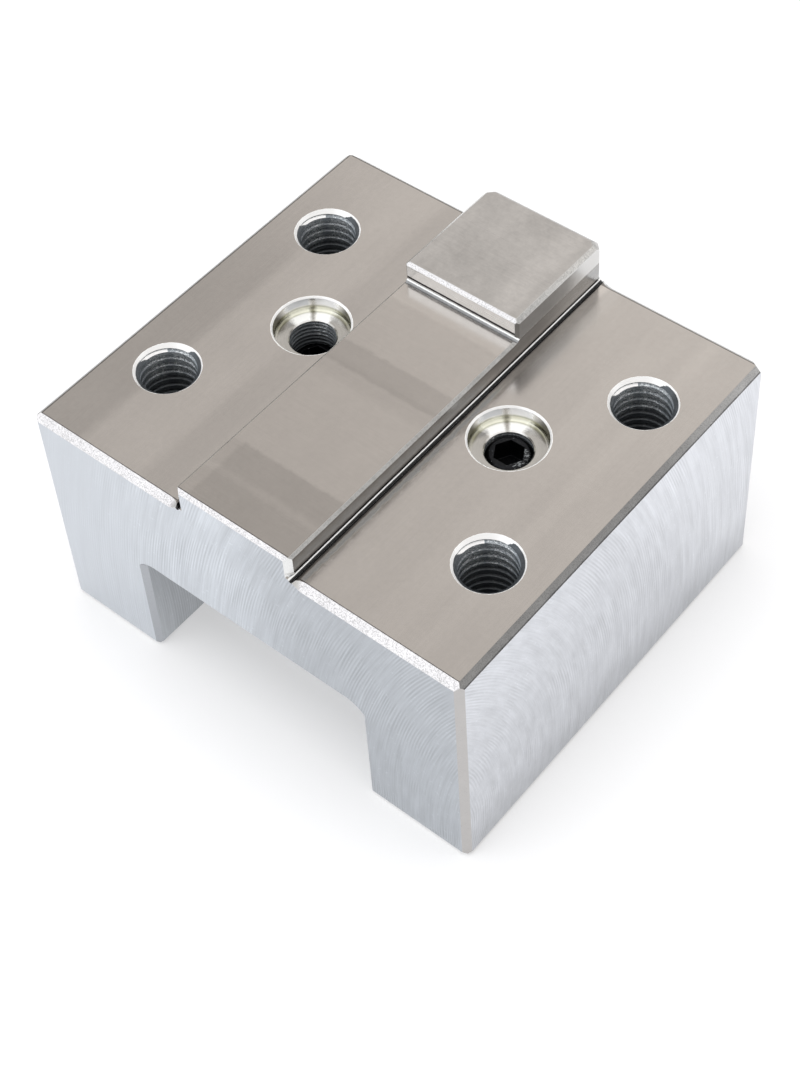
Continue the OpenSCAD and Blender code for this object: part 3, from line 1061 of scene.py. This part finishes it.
def threaded(name, colour, centre, sectors):
    """Thread with painted glints in sectors. Each is (low, high) along the direction to the back right."""
    material, shader, place = start_material(name)
    local = nearest_hole(place) if centre is None else place
    back, side = round_axis(local, centre or Vector((0, 0, 0)))[1:]
    depth = LAND_Z / MM - place.axes()[2]
    ring = place.stretched(0.35, 0.35, 8).swing(5, 0.8)
    chips = place.stretched(2.6, 2.6, 9).noise(5, 0.85).between(0.47, 0.60)
    wobble = place.finer(0.8).swing(3, 0.6) * 0.12
    # Painted glints, placed by the direction away from the camera.
    painted_glints = back.between(0.0, 0.5) * 0.22
    for low, high in sectors:
        painted_glints = painted_glints + (side + wobble).within(low, high, 0.12) * back.between(0.0, 0.3) * 0.6
    # Painted light near the mouth, and painted shade deep down.
    painted_mouth_light = 1 - depth.between(1, 4.5)
    deep = (depth + wobble * 3).between(6.3, 7.6)
    painted_depth_light = 1 + painted_mouth_light * 0.7 - deep * 0.45
    dark = (painted_depth_light * (1 + ring * 0.7)).tint(colour)
    painted_glint_colour = (chips * painted_glints * (1 + painted_mouth_light * 0.9) * (1 - deep * 0.85)).blend(dark, PAINTED_THREAD_GLINT)
    finish_material(shader, painted_glint_colour, 0.40 + ring * 0.08, ring, 0.01, metallic=THREAD_METALLIC)
    return material


thread_steel = threaded("thread", (0.135, 0.153, 0.17), None, [(-0.75, -0.2), (0.1, 0.8)])
port_left_thread = threaded("left port thread", (0.11, 0.124, 0.138), PORT_CENTRES[0], [(0.1, 0.6)])
port_right_thread = threaded("right port thread", (0.07, 0.078, 0.085), PORT_CENTRES[1], [(-0.7, -0.5)])
print("threaded holes:", len(HOLE_CENTRES) + len(PORT_CENTRES))

# %% [markdown]
# ## Mouths, lips and grooves
# The countersink of a tapped hole gets a painted highlight, wide at its side away from the camera and a thin
# ring elsewhere, and is dark further in. The lip of a port is a painted highlight all round. The grooves at
# the foot of the rib and of the key are painted dark, as shade, with one painted highlight line each.

# %% Mouths, lips and grooves
PAINTED_LIP_HIGHLIGHT = (0.93, 0.93, 0.93)
MOUTH_DARK = (0.09, 0.10, 0.11)
PAINTED_GROOVE_HIGHLIGHT = (0.97, 0.97, 0.96)
FINE_BUMP_MM = 0.002


def mouth(name):
    material, shader, place = start_material(name)
    radius, back, side = round_axis(nearest_hole(place), Vector((0, 0, 0)))
    speck = place.finer(1.5).swing(4, 0.7)
    # A painted highlight at the outer edge, wider on the side away from the camera and at the left.
    far_side = (back + speck * 0.04 - side * 0.12).between(0.5, 0.85)
    left_side = (0 - side).between(0.7, 0.95)
    bright = (radius + speck * 0.03 + far_side * 0.95 + left_side * 0.22).between(5.86, 5.96)
    colour = bright.blend((1 + speck * 0.3).tint(MOUTH_DARK), PAINTED_LIP_HIGHLIGHT)
    finish_material(shader, colour, 0.28, speck, FINE_BUMP_MM, metallic=0.6 - bright * 0.3)
    return material


def relief(name, axis, start, line, dark):
    """A groove at a foot, painted dark as shade. Line is the borders of its painted highlight, in mm beyond a
    start along an axis.
    """
    material, shader, place = start_material(name)
    speck = place.finer(2).swing(3, 0.7)
    colour = (1 + speck * 0.2).tint((dark, dark, dark))
    if line:
        off = place.axes()[axis].size() - start / MM
        colour = (off + speck * 0.02).within(*line).blend(colour, PAINTED_GROOVE_HIGHLIGHT)
    finish_material(shader, colour, 0.25, speck, FINE_BUMP_MM)
    return material


def lip(name):
    material, shader, place = start_material(name)
    speck = place.finer(1.5).swing(3, 0.7)
    # The whole lip is a painted highlight, nearly white.
    finish_material(shader, (1 + speck * 0.05).tint(PAINTED_LIP_HIGHLIGHT), 0.25, speck, FINE_BUMP_MM, metallic=0.35)
    return material


mouth_steel = mouth("mouth of a tapped hole")
lip_steel = lip("lip of a port")
groove_light_steel = relief("rib's groove", 0, RIB_HALF, (-0.6, -0.33, 0.03), 0.06)
key_groove_steel = relief("key's groove", 1, KEY_FRONT, (0.36, 0.7, 0.04), 0.32)
groove_dark_steel = relief("dark side of a groove", 0, RIB_HALF, None, 0.12)
print("finishes made so far:", len(bpy.data.materials))

# %% [markdown]
# ## Names for the faces
# The faces are told apart by where they are and which way they look, as a machinist would name them. First
# come the names of the ports' faces and of the narrow slanted ones.

# %% Name the slanted faces
STRAIGHT = 0.99
NEARLY = 0.96
TOUCH = 0.01 * MM


def looks(normal, x, y, z, least=NEARLY):
    return normal.dot(Vector((x, y, z)).normalized()) > least


def finish_in_port(place, normal):
    if place.z > LAND_Z - 0.35 * MM and 0.3 < normal.z < 0.97:
        return "lip"
    side = "left" if place.x < 0 else "right"
    return side + " port thread" if place.z < PORT_FLOOR_Z - 0.2 * MM else "seat " + side


def finish_of_edge(place, normal):
    """The finish of a narrow slanted face."""
    slants_sideways = abs(normal.x) > 0.5 and abs(normal.z) > 0.5
    if looks(normal, 0, -0.38, 0.92, STRAIGHT):
        return "burr"
    if looks(normal, 0, -1, 1):
        return "glitter"
    if slants_sideways and abs(place.x) > HIGH.x - 2 * MM:
        return "dull"
    if looks(normal, 0, 1, 1):
        return "dull"
    on_rib = abs(place.x) < RIB_HALF + TOUCH and place.z > RIB_TOP - 1 * MM
    if on_rib and slants_sideways and normal.z > 0:
        return "grainy"
    if abs(normal.z) < 0.1 and abs(place.x) > RIB_HALF + 14 * MM:
        return "upright"
    return "chamfer"


print("a slanted face may be off by", round(math.degrees(math.acos(NEARLY))), "degrees")

# %% [markdown]
# ## Names for the block's faces
# The order of the questions matters. The channel comes before the holes, because its wall passes under a
# port, and a slanted face is a chamfer only when it isn't part of a hole or a groove.

# %% Name the block's faces
HOLE_RIM = 6.25 * MM
PORT_RIM = 7.35 * MM
COUNTERSINK = 1.15 * MM
CHANNEL_HALF = 26.5 * MM
GROOVE_REACH = 0.75 * MM
KEY_GROOVE_REACH = 0.7 * MM
POCKET_FACES_HALF = 10 * MM
POCKET_FLOOR = 30 * MM


def finish_of(place, normal):
    """The name of the finish of a face of the block."""
    if normal.z > STRAIGHT and abs(place.z - LAND_Z) < TOUCH:
        return "land"
    near_key = abs(place.y - KEY_FRONT) < KEY_GROOVE_REACH and abs(place.z - RIB_TOP) < KEY_GROOVE_REACH
    if near_key and abs(normal.z) < 0.95:
        return "key groove" if normal.z > 0.3 else "groove dark"
    in_channel = place.z < ROOF_Z + 0.5 * MM and abs(place.x) < CHANNEL_HALF
    if in_channel and abs(normal.y) < STRAIGHT:
        return "flare" if abs(normal.y) > 0.3 and abs(normal.x) > 0.3 else "channel"
    if hole_at(place, HOLE_CENTRES, HOLE_RIM):
        return "mouth" if place.z > LAND_Z - COUNTERSINK and normal.z > 0.6 else "thread"
    if hole_at(place, PORT_CENTRES, PORT_RIM):
        return finish_in_port(place, normal)
    if abs(normal.y) > STRAIGHT:
        return "front"
    if abs(place.x) > HIGH.x - 0.05 * MM and abs(normal.x) > STRAIGHT:
        return "side"
    if normal.z > STRAIGHT:
        return "rib" if place.z > LAND_Z + 1 * MM else "channel"
    if abs(abs(place.x) - RIB_HALF) < GROOVE_REACH and place.z > LAND_Z - 1 * MM:
        if abs(normal.x) > STRAIGHT:
            return "flank"
        if place.z < LAND_Z + KEY_GROOVE_REACH and abs(normal.y) < 0.1:
            return "groove light" if normal.x * place.x > 0 and normal.z > 0.3 else "groove dark"
    if abs(place.x) < POCKET_FACES_HALF and place.y > KEY_FRONT and place.z > POCKET_FLOOR:
        return "channel"
    return finish_of_edge(place, normal)


FINISHES = {
    "land": land_steel,
    "rib": rib_steel,
    "flank": flank_steel,
    "front": front_steel,
    "side": side_steel,
    "channel": channel_steel,
    "chamfer": chamfer_steel,
    "glitter": glitter_steel,
    "dull": dull_steel,
    "upright": upright_steel,
    "flare": flare_steel,
    "burr": painted_edge_shade_steel,
    "mouth": mouth_steel,
    "lip": lip_steel,
    "seat left": seat_left_steel,
    "seat right": seat_right_steel,
    "thread": thread_steel,
    "left port thread": port_left_thread,
    "right port thread": port_right_thread,
    "grainy": grainy_steel,
    "groove light": groove_light_steel,
    "key groove": key_groove_steel,
    "groove dark": groove_dark_steel,
}
print("finishes of the block:", len(FINISHES))

# %% [markdown]
# ## Finish the block
# Each finish becomes a slot of the block, and every face takes the slot that its name says. The shading is
# smooth over the thread and the arcs, and sharp wherever two faces meet at more than 14 degrees.

# %% Finish the block
BLOCK_SMOOTH = math.radians(14)


def paint(piece, finishes, naming):
    """Gives each face the finish that its name says, and counts them."""
    piece.data.materials.clear()
    names = list(finishes)
    for name in names:
        piece.data.materials.append(finishes[name])
    counts = dict.fromkeys(names, 0)
    for face in piece.data.polygons:
        name = naming(face.center, face.normal)
        face.material_index = names.index(name)
        counts[name] += 1
    return counts


def smooth(piece, limit):
    alone(piece)
    bpy.ops.object.shade_smooth_by_angle(angle=limit)


print("faces by finish:", paint(block, FINISHES, finish_of))
smooth(block, BLOCK_SMOOTH)
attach(block, "root")
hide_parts("seat_block")

# %% [markdown]
# ## Key
# The key is a separate bar, ground on its top and held from below. Its two back corners are slanted as the
# block's are, and only the part above the rib gets broken edges, because its tenon is out of sight. It
# shares the block's chamfer finishes, because the same cutter made them.

# %% Key
KEY_CORNER = Vector((KEY_HIGH.x, KEY_HIGH.y - 1.1 * MM, KEY_HIGH.z - 1.31 * MM))
KEY_CORNER_SLANT = Vector((1, 1, math.sqrt(2)))
KEY_EDGE_BREAK = 0.1 * MM
KEY_SMOOTH = math.radians(18)
key = copy_of("locating_key", "key")
slant_back_corners(key, KEY_CORNER, KEY_CORNER_SLANT)
print("open edges of the key:", open_edges(key))
print("edges broken:", break_edges(key, lambda place: place.z > RIB_TOP - 0.5 * MM, KEY_EDGE_BREAK))
KEY_FINISHES = {
    "top": key_top_steel,
    "side": key_side_steel,
    "front": key_front_steel,
    "glitter": glitter_steel,
    "grainy": grainy_steel,
    "dull": dull_steel,
    "chamfer": chamfer_steel,
    "groove dark": groove_dark_steel,
}


def key_finish_of(place, normal):
    if normal.z > STRAIGHT:
        return "top"
    if looks(normal, 0, -1, 0, STRAIGHT):
        return "front"
    if looks(normal, 0, -1, 1):
        return "glitter"
    if abs(normal.x) > 0.45 and normal.z > 0.5:
        return "grainy"
    if looks(normal, 0, 1, 1):
        return "dull"
    if looks(normal, 0, -1, -1):
        return "groove dark"
    return "side" if abs(normal.z) < 0.05 else "chamfer"


print("key faces by finish:", paint(key, KEY_FINISHES, key_finish_of))
smooth(key, KEY_SMOOTH)
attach(key, "root")
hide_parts("locating_key")

# %% [markdown]
# ## Plugs and screws
# Both come black from the maker. Black oxide is dark but still metal, so it shines a little, and it wears
# through in small spots. Beside the right plug's socket the same light colour is painted as glints. The
# shapes of the plugs and screws come from the frame, and only their edges are broken a little, so that they
# catch the light.

# %% Plugs and screws
OXIDE = (0.03, 0.031, 0.034)
WORN_OXIDE_AND_GLINT = (0.42, 0.45, 0.47)


def oxide(name):
    material, shader, place = start_material(name)
    x, y = place.axes()[:2]
    speck = place.finer(1.5).swing(3, 0.6)
    # A patch of painted glints beside the right plug's socket, among the worn spots.
    painted_patch_beside = (x - PORT_CENTRES[1].x / MM).within(1.2, 4.2, 0.4)
    painted_patch_beside = painted_patch_beside * (y - PORT_CENTRES[1].y / MM).within(-2.2, 2.4, 0.5)
    scrapes = place.vector(x * 2.2 - y * 1.1, y * 0.9 + x * 0.4, 0.0).noise(4, 0.75)
    worn_and_glint = (scrapes + painted_patch_beside * 0.12).between(0.62, 0.72)
    colour = worn_and_glint.blend((1 + speck * 0.3).tint(OXIDE), WORN_OXIDE_AND_GLINT)
    finish_material(shader, colour, 0.38 + speck * 0.05, speck, 0.006)
    return material


black_oxide = oxide("black oxide")
FASTENERS = {"port_plug_left": "left_plug", "port_plug_right": "right_plug", "key_screws": "screws"}
FASTENER_EDGE_BREAK = 0.06 * MM
FASTENER_SMOOTH = math.radians(25)
for node, name in FASTENERS.items():
    fastener = copy_of(node, name)
    print("edges broken on", name, break_edges(fastener, lambda place: True, FASTENER_EDGE_BREAK))
    fastener.data.materials.append(black_oxide)
    smooth(fastener, FASTENER_SMOOTH)
    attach(fastener, "root")
    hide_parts(node)

# %% [markdown]
# ## Close
# The Standard view shows each colour about as it is written.

# %% Close
bpy.context.scene.view_settings.view_transform = "Standard"
